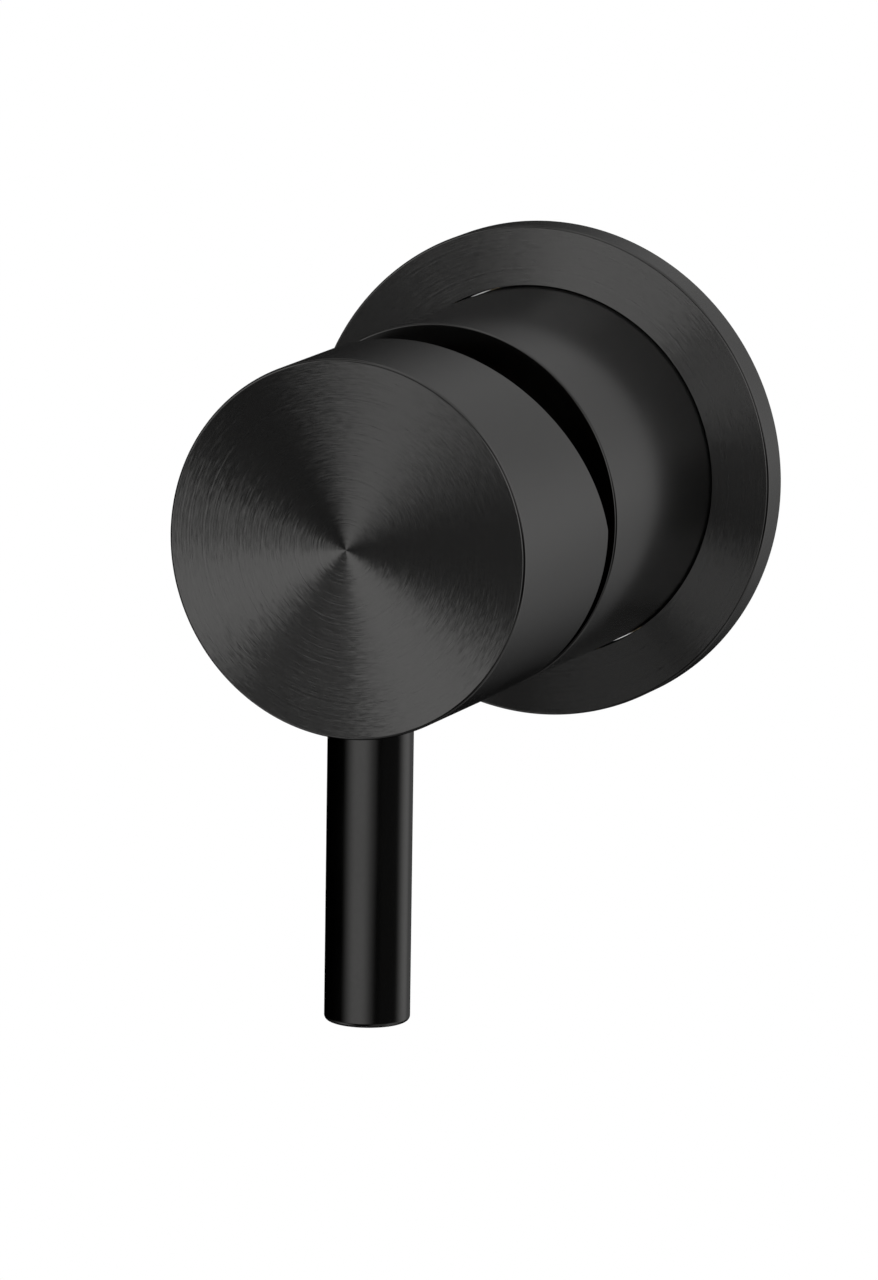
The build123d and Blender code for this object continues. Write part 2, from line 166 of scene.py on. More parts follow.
def makeTurnTree():
    tree, given, result = newTree("turnProfile", "GeometryNodeTree", turnInputs, shapeOutputs)
    outline = fedNode(tree, "GeometryNodeMeshToCurve", {"Mesh": given["Profile"]})["Curve"]
    edgeRadius = fedNode(tree, "GeometryNodeInputNamedAttribute", {"Name": "edgeRadius"}, data_type="FLOAT")
    rounded = fedNode(tree, "GeometryNodeFilletCurve", {
        "Curve": outline,
        "Count": given["Rounding Steps"],
        "Radius": edgeRadius["Attribute"],
        "Limit Radius": True,
    }, mode="POLY")["Curve"]
    size = fedNode(tree, "GeometryNodeAttributeDomainSize", {"Geometry": rounded}, component="CURVE")
    grid = fedNode(tree, "GeometryNodeMeshGrid", {
        "Vertices X": calc(tree, "ADD", given["Segments"], 1.0),
        "Vertices Y": size["Point Count"],
    })["Mesh"]
    place = splitParts(tree, meshPlace(tree))
    angle = calc(tree, "MULTIPLY", calc(tree, "ADD", place["X"], 0.5), 2 * pi)
    lastPoint = calc(tree, "SUBTRACT", size["Point Count"], 1.0)
    number = calc(tree, "MULTIPLY", calc(tree, "ADD", place["Y"], 0.5), lastPoint)
    sample = fedNode(tree, "GeometryNodeSampleIndex", {
        "Geometry": rounded,
        "Value": meshPlace(tree),
        "Index": fedNode(tree, "FunctionNodeFloatToInt", {0: number}, rounding_mode="ROUND")[0],
    }, data_type="FLOAT_VECTOR", domain="POINT")[0]
    point = splitParts(tree, sample)
    feed(tree, result["Geometry"], bendGrid(tree, grid, point["X"], angle, point["Y"]))
    return tree


turnTree = makeTurnTree()


def useTurnTree(tree, given):
    sources = {label: given[label] for label, _, _ in turnInputs}
    return fedNode(tree, "GeometryNodeGroup", sources, node_tree=turnTree)["Geometry"]


def setMaterials(tree, given, result, geometry):  # faces across the axis and edges have their own finish
    normal = splitParts(tree, addNode(tree, "GeometryNodeInputNormal").outputs[0])
    along = calc(tree, "ABSOLUTE", normal["Y"])
    low, high = turning["edgeLimits"]
    across = calc(tree, "GREATER_THAN", along, turning["faceLimit"])
    notSide = calc(tree, "GREATER_THAN", along, low)
    bent = calc(tree, "MULTIPLY", notSide, calc(tree, "LESS_THAN", along, high))
    shape = realShape(tree, geometry)
    for label, chosen in (("Side Material", True), ("Face Material", across), ("Edge Material", bent)):
        sources = {"Geometry": shape, "Selection": chosen, "Material": given[label]}
        shape = fedNode(tree, "GeometryNodeSetMaterial", sources)["Geometry"]
    feed(tree, result["Geometry"], shape)


def makePlainTree():
    tree, given, result = newTree("turnedPiece", "GeometryNodeTree", turnInputs + finishInputs, shapeOutputs)
    setMaterials(tree, given, result, useTurnTree(tree, given))
    return tree


plainTree = makePlainTree()


def profileObject(name, corners):
    mesh = bpy.data.meshes.new(name)
    points = [(radius, out, 0.0) for radius, out, _ in corners]
    mesh.from_pydata(points, [(i, i + 1) for i in range(len(points) - 1)], [])
    radii = mesh.attributes.new("edgeRadius", "FLOAT", "POINT")
    radii.data.foreach_set("value", [edge for _, _, edge in corners])
    piece = bpy.data.objects.new(name, mesh)
    bpy.context.scene.collection.objects.link(piece)
    return piece


def setInput(modifier, label, value):
    for item in modifier.node_group.interface.items_tree:
        if item.item_type == "SOCKET" and item.in_out == "INPUT" and item.name == label:
            modifier[item.identifier] = value


def plainMesh(piece):  # what the modifiers make of a piece, without them
    evaluated = piece.evaluated_get(bpy.context.evaluated_depsgraph_get())
    mesh = bpy.data.meshes.new_from_object(evaluated)
    piece.modifiers.clear()
    return mesh


def growPiece(name, corners, tree, values, turn=None):  # runs the tree and keeps its plain mesh
    piece = profileObject(name, corners)
    modifier = piece.modifiers.new("grow", "NODES")
    modifier.node_group = tree
    for label, value in values.items():
        setInput(modifier, label, value)
    mesh = plainMesh(piece)
    if turn is not None:
        mesh.transform(turn)
    work = bmesh.new()
    work.from_mesh(mesh)
    bmesh.ops.recalc_face_normals(work, faces=work.faces)
    work.to_mesh(mesh)
    work.free()
    mesh.shade_smooth()
    mesh.set_sharp_from_angle(angle=turning["sharpAngle"])
    piece.data = mesh
    even = piece.modifiers.new("evenNormals", "WEIGHTED_NORMAL")  # keeps long faces flat beside rounded edges
    even.keep_sharp = True
    even.weight = turning["evenWeight"]
    mesh = plainMesh(piece)
    piece.data = mesh
    mesh.name = name
    print(name, len(mesh.polygons), "faces")
    return piece


# effects that materials share

lineNoise = {
    "seeds": (0.0, 37.0),
    "detail": 3.0,
    "roughness": 0.65,
    "ringScale": 0.5,
    "ringDetail": 2.0,
    "strokeShare": 0.6,  # the rest of the grain is unbroken rings
    "swing": 8.0,  # because noise keeps near one half
}
speckNoise = {"detail": 2.0, "cloudScale": 60.0}
noiseRange = (0.3, 0.7)  # where nearly all of a noise lies


def makeTurnedLines():  # one-sided grooves round the Y axis: short strokes that lean outwards and sideways
    tree, given, result = newTree(
        "turnedLines",
        "ShaderNodeTree",
        [
            ("Place", "NodeSocketVector", None),
            ("Lines per mm", "NodeSocketFloat", 4.0),
            ("Stroke Length", "NodeSocketFloat", 2.0 * mm),
            ("Lean", "NodeSocketFloat", 0.4),
            ("Lean Spread", "NodeSocketFloat", 0.1),
            ("Side Spread", "NodeSocketFloat", 0.05),
        ],
        [("Lean", "NodeSocketVector"), ("Grain", "NodeSocketFloat")],
    )
    place = splitParts(tree, given["Place"])
    flat = joinParts(tree, place["X"], 0.0, place["Z"])
    radius = fedNode(tree, "ShaderNodeVectorMath", {0: flat}, operation="LENGTH")["Value"]
    outwards = vectorCalc(tree, "NORMALIZE", flat)
    sideways = vectorCalc(tree, "CROSS_PRODUCT", outwards, (0.0, 1.0, 0.0))
    lineNumber = calc(tree, "MULTIPLY", radius, calc(tree, "MULTIPLY", given["Lines per mm"], 1 / mm))
    spot = joinParts(
        tree,
        calc(tree, "DIVIDE", place["X"], given["Stroke Length"]),
        lineNumber,
        calc(tree, "DIVIDE", place["Z"], given["Stroke Length"]),
    )
    strokes = []
    for seed in lineNoise["seeds"]:
        strokes.append(fedNode(tree, "ShaderNodeTexNoise", {
            "Vector": spot,
            "W": seed,
            "Scale": 1.0,
            "Detail": lineNoise["detail"],
            "Roughness": lineNoise["roughness"],
        }, noise_dimensions="4D")[0])
    rings = fedNode(tree, "ShaderNodeTexNoise", {
        "W": lineNumber,
        "Scale": lineNoise["ringScale"],
        "Detail": lineNoise["ringDetail"],
    }, noise_dimensions="1D")[0]
    brokenGrain = calc(tree, "MULTIPLY", strokes[0], lineNoise["strokeShare"])
    ringGrain = calc(tree, "MULTIPLY", rings, 1.0 - lineNoise["strokeShare"])
    grain = calc(tree, "ADD", brokenGrain, ringGrain)
    leans = []
    for noise, amount in ((grain, given["Lean Spread"]), (strokes[1], given["Side Spread"])):
        swing = calc(tree, "MULTIPLY", calc(tree, "SUBTRACT", noise, 0.5), lineNoise["swing"])
        leans.append(calc(tree, "MULTIPLY", swing, amount))
    outwardLean = scaled(tree, outwards, calc(tree, "ADD", given["Lean"], leans[0]))
    feed(tree, result["Lean"], vectorCalc(tree, "ADD", outwardLean, scaled(tree, sideways, leans[1])))
    feed(tree, result["Grain"], grain)
    return tree


def makeFineGrain():  # soft speckle for moulded and drawn surfaces
    tree, given, result = newTree(
        "fineGrain",
        "ShaderNodeTree",
        [
            ("Place", "NodeSocketVector", None),
            ("Specks per mm", "NodeSocketFloat", 2.0),
            ("Stretch", "NodeSocketVector", (1.0, 1.0, 1.0)),
        ],
        [("Grain", "NodeSocketFloat"), ("Cloud", "NodeSocketFloat")],
    )
    specks = fedNode(tree, "ShaderNodeTexNoise", {
        "Vector": vectorCalc(tree, "MULTIPLY", given["Place"], given["Stretch"]),
        "Scale": calc(tree, "MULTIPLY", given["Specks per mm"], 1 / mm),
        "Detail": speckNoise["detail"],
    })[0]
    cloud = fedNode(tree, "ShaderNodeTexNoise", {
        "Vector": given["Place"],
        "Scale": speckNoise["cloudScale"],
    })[0]
    feed(tree, result["Grain"], specks)
    feed(tree, result["Cloud"], cloud)
    return tree


turnedLines = makeTurnedLines()
fineGrain = makeFineGrain()


def spread(tree, value, low, high):  # noise taken to a range
    return fedNode(tree, "ShaderNodeMapRange", {
        "Value": value,
        "From Min": noiseRange[0],
        "From Max": noiseRange[1],
        "To Min": low,
        "To Max": high,
    })[0]


def tint(tree, factor, dark, light):
    node = addNode(tree, "ShaderNodeMix", data_type="RGBA")
    inputs = {socket.identifier: socket for socket in node.inputs}
    outputs = {socket.identifier: socket for socket in node.outputs}
    feed(tree, inputs["Factor_Float"], factor)
    feed(tree, inputs["A_Color"], (*dark, 1.0))
    feed(tree, inputs["B_Color"], (*light, 1.0))
    return outputs["Result_Color"]


def objectPlace(tree):
    return addNode(tree, "ShaderNodeTexCoord").outputs["Object"]


def newMaterial(name, metallic, roughness):
    material = bpy.data.materials.new(name)
    material.use_nodes = True
    tree = material.node_tree
    shader = tree.nodes["Principled BSDF"]
    shader.inputs["Metallic"].default_value = metallic
    shader.inputs["Roughness"].default_value = roughness
    return material, tree, shader


def leanNormal(tree, shader, lean):  # tips the shading normal by a lean given in the piece's own frame
    turn = {"vector_type": "VECTOR", "convert_from": "OBJECT", "convert_to": "WORLD"}
    worldLean = fedNode(tree, "ShaderNodeVectorTransform", {0: lean}, **turn)[0]
    upright = addNode(tree, "ShaderNodeNewGeometry").outputs["Normal"]
    leaning = vectorCalc(tree, "ADD", upright, worldLean)
    feed(tree, shader.inputs["Normal"], vectorCalc(tree, "NORMALIZE", leaning))


# dark coated steel

darkSteel = {
    "dark": (0.121, 0.1195, 0.1175),
    "light": (0.139, 0.1375, 0.135),
    "faceTones": ((0.106, 0.1048, 0.103), (0.158, 0.1562, 0.1535)),
    "metallic": 0.92,  # the coating scatters a little light
    "hardMetallic": 1.0,  # lever, inside and edges
    "faceMetallic": (0.66, 0.92),  # from line to line
    "faceRoughness": (0.17, 0.27),
    "faceAnisotropy": 0.4,
    "handleLean": -0.45,  # slope of the one-sided grooves, outwards from the axis
    "plateLean": 0.8,
    "leanSpread": 0.08,
    "sideSpread": 0.045,
    "linesPerMm": 8.0,
    "strokeLength": 1.4 * mm,
    "sideRoughness": 0.18,
    "roughnessSwing": 0.02,
    "edgeRoughness": 0.08,
    # painted shade: rounded edges are a darker copy of the steel
    "edgePaintedShade": 0.75,
    "paintedOutlineTint": 0.12,  # painted shade: keeps the outline dark where an edge turns away
    # painted shade: the lever is a darker copy of the same steel
    "leverPaintedShade": 0.68,
    "innerPaintedShade": 0.3,  # painted shade: left dark where it faces into the tap
}
quarterTurn = 0.25  # of the anisotropy, so that it follows the grooves


def makeTurnedFace(name, metal, lean):
    low, high = metal["faceRoughness"]
    material, tree, shader = newMaterial(name, metal["metallic"], (low + high) / 2)
    lines = fedNode(tree, "ShaderNodeGroup", {
        "Place": objectPlace(tree),
        "Lines per mm": metal["linesPerMm"],
        "Stroke Length": metal["strokeLength"],
        "Lean": lean,
        "Lean Spread": metal["leanSpread"],
        "Side Spread": metal["sideSpread"],
    }, node_tree=turnedLines)
    shading = spread(tree, lines["Grain"], 0.0, 1.0)
    feed(tree, shader.inputs["Base Color"], tint(tree, shading, *metal["faceTones"]))
    feed(tree, shader.inputs["Roughness"], spread(tree, lines["Grain"], low, high))
    feed(tree, shader.inputs["Metallic"], spread(tree, lines["Grain"], *metal["faceMetallic"]))
    leanNormal(tree, shader, lines["Lean"])
    shader.inputs["Anisotropic"].default_value = metal["faceAnisotropy"]
    shader.inputs["Anisotropic Rotation"].default_value = quarterTurn
    tangent = addNode(tree, "ShaderNodeTangent", direction_type="RADIAL", axis="Y")
    feed(tree, shader.inputs["Tangent"], tangent.outputs[0])
    return material


# the shade factor paints shade: it darkens the tones for shaded copies of the steel, and the tint darkens
# grazing reflections
def makeSideSteel(name, metallic, paintedShade=1.0, roughness=darkSteel["sideRoughness"], paintedOutlineTint=1.0):
    material, tree, shader = newMaterial(name, metallic, roughness)
    shader.inputs["Specular Tint"].default_value = (paintedOutlineTint, paintedOutlineTint, paintedOutlineTint, 1.0)
    grain = fedNode(tree, "ShaderNodeGroup", {"Place": objectPlace(tree)}, node_tree=fineGrain)
    dark = [paintedShade * value for value in darkSteel["dark"]]
    light = [paintedShade * value for value in darkSteel["light"]]
    low = roughness - darkSteel["roughnessSwing"]
    high = roughness + darkSteel["roughnessSwing"]
    feed(tree, shader.inputs["Base Color"], tint(tree, grain["Grain"], dark, light))
    feed(tree, shader.inputs["Roughness"], spread(tree, grain["Cloud"], low, high))
    return material


handleFaceSteel = makeTurnedFace("handleFaceSteel", darkSteel, darkSteel["handleLean"])
plateFaceSteel = makeTurnedFace("plateFaceSteel", darkSteel, darkSteel["plateLean"])
sideSteel = makeSideSteel("satinSideSteel", darkSteel["metallic"])
# painted shade: the lever's steel has darkened tones
leverSteel = makeSideSteel("leverSteel", darkSteel["hardMetallic"], darkSteel["leverPaintedShade"])
# painted shade: the sleeve's faces are darkened where they face into the tap
innerSteelPaintedShade = makeSideSteel("innerSteelPaintedShade", darkSteel["hardMetallic"], darkSteel["innerPaintedShade"])
# painted shade: rounded edges darkened, with dark grazing reflections for a dark outline
edgeSteel = makeSideSteel(
    "edgeSteel",
    darkSteel["hardMetallic"],
    darkSteel["edgePaintedShade"],
    darkSteel["edgeRoughness"],
    darkSteel["paintedOutlineTint"],
)

# brass, plastics, ceramic, rubber and bright steel

grainy = {"roughnessSwing": 0.06, "bumpStrength": 0.4}


def makeGrainy(name, dark, light, metallic, roughness, bumpDepth, specks=1.5, stretch=(1.0, 1.0, 1.0)):
    material, tree, shader = newMaterial(name, metallic, roughness)
    grain = fedNode(tree, "ShaderNodeGroup", {
        "Place": objectPlace(tree),
        "Specks per mm": specks,
        "Stretch": stretch,
    }, node_tree=fineGrain)
    low = roughness - grainy["roughnessSwing"]
    high = roughness + grainy["roughnessSwing"]
    feed(tree, shader.inputs["Base Color"], tint(tree, grain["Cloud"], dark, light))
    feed(tree, shader.inputs["Roughness"], spread(tree, grain["Grain"], low, high))
    bump = fedNode(tree, "ShaderNodeBump", {
        "Strength": grainy["bumpStrength"],
        "Distance": bumpDepth,
        "Height": grain["Grain"],
    })
    feed(tree, shader.inputs["Normal"], bump[0])
    return material


brass = {
    "tones": ((0.56, 0.40, 0.17), (0.66, 0.49, 0.23)),
    "faceTones": ((0.58, 0.42, 0.18), (0.66, 0.49, 0.23)),
    "metallic": 0.93,
    "faceMetallic": (0.88, 0.98),
    "roughness": 0.34,
    "bumpDepth": 0.01 * mm,
    "specksPerMm": 3.0,
    "ringStretch": (0.05, 1.0, 0.05),  # drawn out round the axis
    "faceRoughness": (0.26, 0.38),
    "faceAnisotropy": 0.4,
    "leanSpread": 0.04,
    "sideSpread": 0.03,
    "linesPerMm": 4.0,
    "strokeLength": 8.0 * mm,
}
brassFace = makeTurnedFace("turnedBrassFace", brass, 0.0)
brassSide = makeGrainy(
    "turnedBrassSide",
    *brass["tones"],
    brass["metallic"],
    brass["roughness"],
    brass["bumpDepth"],
    brass["specksPerMm"],
    brass["ringStretch"],
)
drawn = {"specksPerMm": 3.0, "stretch": (1.0, 0.05, 1.0)}  # along the stem
plainFinishes = {  # name, dark and light tone, metallic, roughness, depth of the bump
    "white_plastic": ("whiteAcetal", (0.72, 0.72, 0.69), (0.82, 0.82, 0.80), 0.0, 0.45, 0.02 * mm),
    "grey_plastic": ("greyAcetal", (0.30, 0.31, 0.33), (0.38, 0.39, 0.41), 0.0, 0.45, 0.02 * mm),
    "red_plastic": ("redAcetal", (0.50, 0.04, 0.03), (0.62, 0.07, 0.05), 0.0, 0.42, 0.02 * mm),
    "white_ceramic": ("lappedCeramic", (0.82, 0.81, 0.78), (0.88, 0.87, 0.84), 0.0, 0.15, 0.005 * mm),
    "black_rubber": ("nitrileRubber", (0.014, 0.014, 0.014), (0.026, 0.026, 0.026), 0.0, 0.6, 0.03 * mm),
    "bright_steel": (
        "drawnSteel", (0.54, 0.54, 0.53), (0.62, 0.62, 0.61), 0.95, 0.32, 0.002 * mm,
        drawn["specksPerMm"], drawn["stretch"],
    ),
}
finishes = {"cast_brass": brassSide}
for slot, values in plainFinishes.items():
    finishes[slot] = makeGrainy(*values)
for subpart in frame["record"]["subparts"]:
    finish = finishes.get(subpart["material_slot"])
    if finish is not None:
        node = frame["nodes"][subpart["node"]]
        node.data.materials.clear()
        node.data.materials.append(finish)
print("materials ready")

# wall plate

plateLow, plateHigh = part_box("wall_plate")
sleeveLow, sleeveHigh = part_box("sleeve")
plate = {
    "slit": 0.2 * mm,
    "faceWall": 1.8 * mm,
    "counterbore": 1.6 * mm,  # beyond the sleeve
    "frontEdge": 0.35 * mm,
    "boreEdge": 0.06 * mm,
    "rearEdge": 0.2 * mm,
}
sleeveRadius = sleeveHigh.x
plateRadius = plateHigh.x
plateFront = -plateLow.y
plateBore = sleeveRadius + plate["slit"]
counterRadius = sleeveRadius + plate["counterbore"]
plateProfile = [
    (counterRadius, 0.0, 0.0),
    (counterRadius, plateFront - plate["faceWall"], 0.0),
    (plateBore, plateFront - plate["faceWall"], 0.0),
    (plateBore, plateFront, plate["boreEdge"]),
    (plateRadius, plateFront, plate["frontEdge"]),
    (plateRadius, 0.0, plate["rearEdge"]),
    (counterRadius, 0.0, 0.0),
]
plateFinish = {"Side Material": sideSteel, "Face Material": plateFaceSteel, "Edge Material": edgeSteel}
wallPlate = growPiece("wallPlate", plateProfile, plainTree, plateFinish)
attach(wallPlate, "valve")
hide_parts("wall_plate")

# sleeve

sleeve = {
    "wall": 1.5 * mm,
    "lip": 7.0 * mm,  # inwards from the outside
    "lipThickness": 1.5 * mm,
    "frontEdge": 0.3 * mm,
    "lipEdge": 0.2 * mm,  # also at the rear
}
sleeveRear = -sleeveHigh.y
sleeveFront = -sleeveLow.y
sleeveBore = sleeveRadius - sleeve["wall"]
lipRadius = sleeveRadius - sleeve["lip"]
lipRear = sleeveFront - sleeve["lipThickness"]
sleeveProfile = [
    (sleeveBore, sleeveRear, 0.0),
    (sleeveBore, lipRear, 0.0),
    (lipRadius, lipRear, sleeve["lipEdge"]),
    (lipRadius, sleeveFront, sleeve["lipEdge"]),
    (sleeveRadius, sleeveFront, sleeve["frontEdge"]),
    (sleeveRadius, sleeveRear, sleeve["lipEdge"]),
    (sleeveBore, sleeveRear, 0.0),
]
# the sleeve's faces across the axis carry painted shade
sleeveFinish = {"Side Material": sideSteel, "Face Material": innerSteelPaintedShade, "Edge Material": edgeSteel}
sleevePiece = growPiece("sleeveTube", sleeveProfile, plainTree, sleeveFinish)
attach(sleevePiece, "valve")
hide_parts("sleeve")

# lever

leverLow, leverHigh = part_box("lever")
lever = {"endEdge": 0.6 * mm, "topEdge": 0.3 * mm, "holeRadius": 3.0 * mm, "holeDepth": 7.5 * mm}
leverRadius = leverHigh.x
leverOut = -(leverLow.y + leverHigh.y) / 2
leverTop = leverHigh.z
leverLength = leverHigh.z - leverLow.z
leverProfile = [
    (0.0, lever["holeDepth"], 0.0),
    (lever["holeRadius"], lever["holeDepth"], 0.0),
    (lever["holeRadius"], 0.0, lever["topEdge"]),
    (leverRadius, 0.0, lever["topEdge"]),
    (leverRadius, leverLength, lever["endEdge"]),
    (0.0, leverLength, 0.0),
]
hang = Matrix.Translation((0.0, -leverOut, leverTop)) @ Matrix.Rotation(radians(90), 4, "X")  # -Y goes to -Z
leverFinish = {"Side Material": leverSteel, "Face Material": leverSteel, "Edge Material": edgeSteel}
leverRod = growPiece("leverRod", leverProfile, plainTree, leverFinish, hang)
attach(leverRod, "grip")
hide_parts("lever")

# handle

handleLow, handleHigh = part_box("handle")
stemLow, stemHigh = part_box("stem")
handle = {
    "wall": 4.0 * mm,
    "faceWall": 3.5 * mm,
    "reliefAngle": radians(23.5),
    "frontEdge": 0.4 * mm,
    "rearEdge": 0.2 * mm,
    "rearBand": 1.0 * mm,  # the rear edges lie in it, and the relief moves them
    "socketPlay": 0.05 * mm,
    "leverWeb": 1.6 * mm,
    "drillLength": 60.0 * mm,
    "drillSegments": 128,
}
handleRadius = handleHigh.x
handleRear = -handleHigh.y
handleFront = -handleLow.y
hollowRadius = handleRadius - handle["wall"]
socketRadius = leverRadius + handle["socketPlay"]
hollowOut = leverOut - socketRadius - handle["leverWeb"]
socketOut = handleFront - handle["faceWall"]
handleProfile = [
    (0.0, hollowOut, 0.0),
    (hollowRadius, hollowOut, 0.0),
    (hollowRadius, handleRear, handle["rearEdge"]),
    (handleRadius, handleRear, handle["rearEdge"]),
    (handleRadius, handleFront, handle["frontEdge"]),
    (0.0, handleFront, 0.0),
]


def makeHandleTree():
    labels = [
        "Rear Out", "Relief Slope", "Socket Side", "Socket Start", "Socket End",
        "Lever Radius", "Lever Out", "Lever Top", "Stud Radius",
    ]
    tree, given, result = newTree(
        "tiltHandle",
        "GeometryNodeTree",
        turnInputs + finishInputs + [(label, "NodeSocketFloat", 0.0) for label in labels],
        shapeOutputs,
    )
    place = splitParts(tree, meshPlace(tree))
    bandEnd = calc(tree, "ADD", given["Rear Out"], handle["rearBand"])
    lift = calc(tree, "MULTIPLY", calc(tree, "MAXIMUM", place["Z"], 0.0), given["Relief Slope"])
    relieved = fedNode(tree, "GeometryNodeSetPosition", {
        "Geometry": useTurnTree(tree, given),
        "Selection": calc(tree, "LESS_THAN", opposite(tree, place["Y"]), bandEnd),
        "Offset": joinParts(tree, y=opposite(tree, lift)),
    })["Geometry"]
    socketLength = calc(tree, "SUBTRACT", given["Socket End"], given["Socket Start"])
    twice = calc(tree, "MULTIPLY", socketLength, 2.0)
    socketSize = joinParts(tree, given["Socket Side"], twice, given["Socket Side"])
    square = fedNode(tree, "GeometryNodeMeshCube", {"Size": socketSize})["Mesh"]
    cutters = [moveTo(tree, square, joinParts(tree, y=opposite(tree, given["Socket Start"])))]
    for radius, top in ((given["Lever Radius"], given["Lever Top"]), (given["Stud Radius"], 0.0)):
        drill = fedNode(tree, "GeometryNodeMeshCylinder", {
            "Vertices": handle["drillSegments"],
            "Radius": radius,
            "Depth": handle["drillLength"],
        })["Mesh"]
        middle = calc(tree, "SUBTRACT", top, handle["drillLength"] / 2)
        cutters.append(moveTo(tree, drill, joinParts(tree, y=opposite(tree, given["Lever Out"]), z=middle)))
    setMaterials(tree, given, result, cutAway(tree, relieved, cutters))
    return tree


handlePiece = growPiece("tiltHandle", handleProfile, makeHandleTree(), {
    "Side Material": sideSteel,
    "Face Material": handleFaceSteel,
    "Edge Material": edgeSteel,
    "Rear Out": handleRear,
    "Relief Slope": tan(handle["reliefAngle"]),
    "Socket Side": stemHigh.x - stemLow.x + 2 * handle["socketPlay"],
    "Socket Start": hollowOut,
    "Socket End": socketOut,
    "Lever Radius": socketRadius,
    "Lever Out": leverOut,
    "Lever Top": leverTop,
    "Stud Radius": lever["holeRadius"],
})
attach(handlePiece, "grip")
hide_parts("handle")
print("turned pieces ready")

# rubber rings with a round section

rubberRings = {"segments": 192, "sectionSegments": 24}
acrossY = (radians(90), 0.0, 0.0)  # turns what lies flat, or stands along Z, to the Y axis


def makeRingTree():
    tree, given, result = newTree(
        "roundRing",
        "GeometryNodeTree",
        [
            ("Geometry", "NodeSocketGeometry", None),
            ("Ring Radius", "NodeSocketFloat", 20.0 * mm),
            ("Section Radius", "NodeSocketFloat", 1.0 * mm),
            ("Out", "NodeSocketFloat", 0.0),
            ("Segments", "NodeSocketInt", rubberRings["segments"]),
            ("Section Segments", "NodeSocketInt", rubberRings["sectionSegments"]),
            ("Material", "NodeSocketMaterial", None),
        ],
        shapeOutputs,
    )
    circles = []
    for count, radius in (("Segments", "Ring Radius"), ("Section Segments", "Section Radius")):
        sources = {"Resolution": given[count], "Radius": given[radius]}
        circles.append(fedNode(tree, "GeometryNodeCurvePrimitiveCircle", sources)["Curve"])
    sources = {"Curve": circles[0], "Profile Curve": circles[1]}
    swept = fedNode(tree, "GeometryNodeCurveToMesh", sources)["Mesh"]
    turned = moveTo(tree, swept, joinParts(tree, y=opposite(tree, given["Out"])), acrossY)
    sources = {"Geometry": realShape(tree, turned), "Material": given["Material"]}
    feed(tree, result["Geometry"], fedNode(tree, "GeometryNodeSetMaterial", sources)["Geometry"])
    return tree


ringTree = makeRingTree()
for name, node in (("plateRing", "plate_o_ring"), ("sleeveRing", "sleeve_o_ring")):
    ringLow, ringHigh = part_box(node)
    sectionRadius = (ringHigh.y - ringLow.y) / 2
    ring = growPiece(name, [(0.0, 0.0, 0.0)], ringTree, {
        "Ring Radius": ringHigh.x - sectionRadius,
        "Section Radius": sectionRadius,
        "Out": -(ringLow.y + ringHigh.y) / 2,
        "Material": finishes["black_rubber"],
    })
    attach(ring, "valve")
    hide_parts(node)
print("rings ready")

# valve body: a turned blank, drilled and tapped from behind

bodyLow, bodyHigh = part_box("valve_body")
body = {
    "hubChamfer": 0.8 * mm,
    "collarRadius": 20.8 * mm,
    "seatOut": 3.0 * mm,
    "boreRadius": 17.6 * mm,
    "nutBoreRadius": 19.05 * mm,
    "nutDepth": 4.0 * mm,
    "grooveOut": 16.0 * mm,
    "grooveWidth": 1.9 * mm,
    "grooveDepth": 1.2 * mm,
    "edge": 0.1 * mm,
    "mouthEdge": 0.2 * mm,
    "portCircle": 11.825 * mm,
    "portCore": 7.475 * mm,  # G 3/8
    "portMajor": 8.331 * mm,
    "portPitch": 1.337 * mm,
    "portDepth": 10.0 * mm,
    "fixingCircle": 18.0 * mm,
    "fixingCore": 2.1 * mm,  # M5
    "fixingMajor": 2.5 * mm,
    "fixingPitch": 0.8 * mm,
    "fixingDepth": 9.0 * mm,
    "countersink": 0.3 * mm,
    "passageCircle": 9.0 * mm,
    "passageRadius": 3.2 * mm,
    "pegCircle": 13.5 * mm,
    "pegRadius": 1.6 * mm,
    "pegDepth": 2.6 * mm,
    "portCount": 3,
    "pegCount": 2,
    "portAngle": radians(90),  # the outlet is on top
    "fixingAngle": radians(30),
    "segments": 240,
}
drilling = {
    "overshoot": 0.5 * mm,
    "threadFlat": 0.14,  # share of the sharp wave that is cut off at crest and root
    "rowsPerTurn": 8,
    "portSegments": 120,
    "fixingSegments": 48,
    "drillSegments": 64,
}
hubRadius = bodyHigh.x
bodyRear = -bodyHigh.y
bodyFront = -bodyLow.y
grooveRear = body["grooveOut"] - body["grooveWidth"] / 2
grooveFront = body["grooveOut"] + body["grooveWidth"] / 2
grooveRadius = body["collarRadius"] - body["grooveDepth"]
bodyProfile = [
    (0.0, bodyRear, 0.0),
    (hubRadius - body["hubChamfer"], bodyRear, 0.0),
    (hubRadius, bodyRear + body["hubChamfer"], 0.0),
    (hubRadius, sleeveRear, body["edge"]),
    (body["collarRadius"], sleeveRear, 0.0),
    (body["collarRadius"], grooveRear, body["edge"]),
    (grooveRadius, grooveRear, 0.0),
    (grooveRadius, grooveFront, 0.0),
    (body["collarRadius"], grooveFront, body["edge"]),
    (body["collarRadius"], bodyFront, body["mouthEdge"]),
    (body["nutBoreRadius"], bodyFront, body["mouthEdge"]),
    (body["nutBoreRadius"], bodyFront - body["nutDepth"], 0.0),
    (body["boreRadius"], bodyFront - body["nutDepth"], body["edge"]),
    (body["boreRadius"], body["seatOut"], 0.0),
    (0.0, body["seatOut"], 0.0),
]


